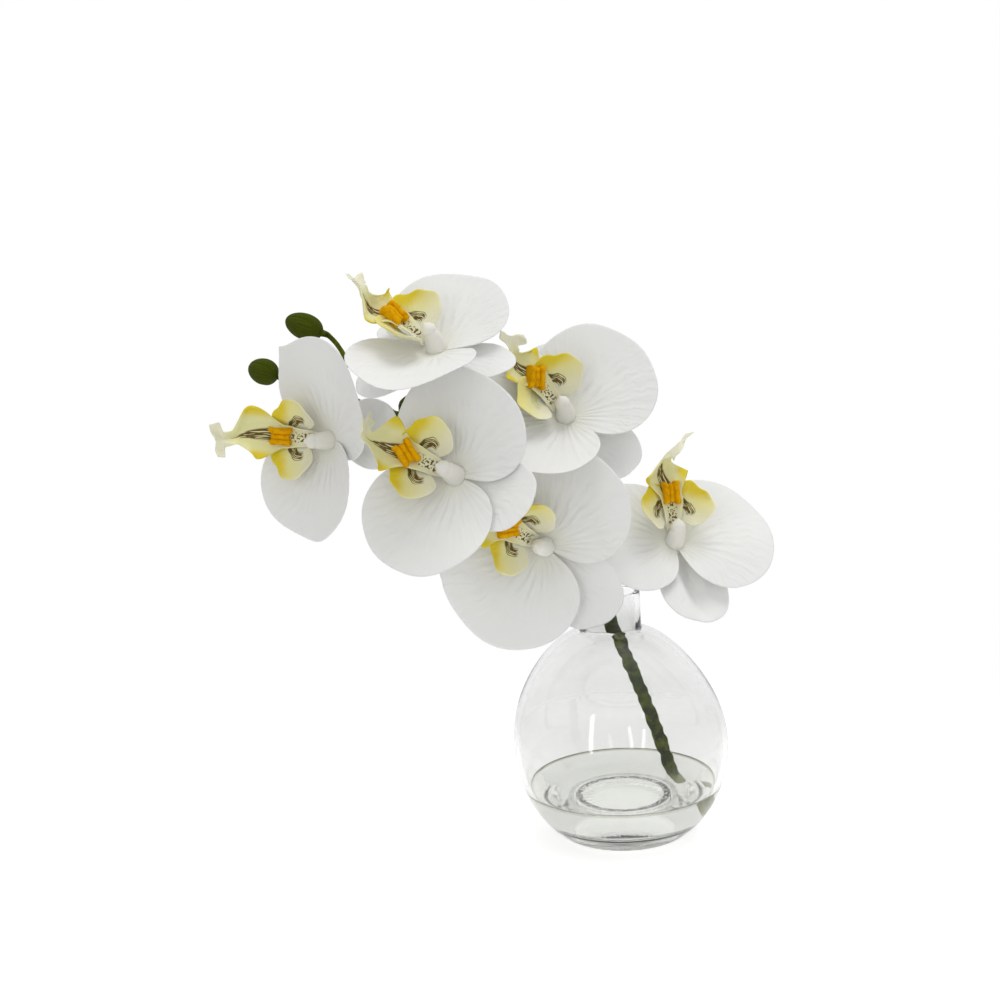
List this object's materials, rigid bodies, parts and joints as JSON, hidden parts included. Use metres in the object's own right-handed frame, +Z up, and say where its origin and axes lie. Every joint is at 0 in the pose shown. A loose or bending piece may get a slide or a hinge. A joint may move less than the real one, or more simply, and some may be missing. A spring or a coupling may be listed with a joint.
{
  "type": "moth orchid in vase",
  "caption": "White moth orchid spray with yellow lips and green buds, arching from a clear ball vase with water.",
  "frame": {"origin": "centre of the vase's flat foot", "axes": "+Z up along the vase's axis; the spray arches toward -X; +Y away from the viewer, so most blooms face -Y"},
  "size_m": [0.2612, 0.1292, 0.2694],
  "materials": {
    "glass": "clear, polished",
    "water": "clear, still surface",
    "stem": "rough, olive green",
    "petal": "soft white, finely veined",
    "lip": "pale yellow, with yellow edges and brown stripes",
    "callus": "orange, ridged",
    "bud": "dark green, satin"
  },
  "bodies": {
    "root": {"vase": "glass", "water": "water", "stem": "stem", "bloom_1": "petal", "lip_1": "lip", "callus_1": "callus", "bloom_2": "petal", "lip_2": "lip", "callus_2": "callus", "bloom_3": "petal", "lip_3": "lip", "callus_3": "callus", "bloom_4": "petal", "lip_4": "lip", "callus_4": "callus", "bloom_5": "petal", "lip_5": "lip", "callus_5": "callus", "bloom_6": "petal", "lip_6": "lip", "callus_6": "callus", "bud_1": "bud", "bud_2": "bud"}
  },
  "joints": []
}
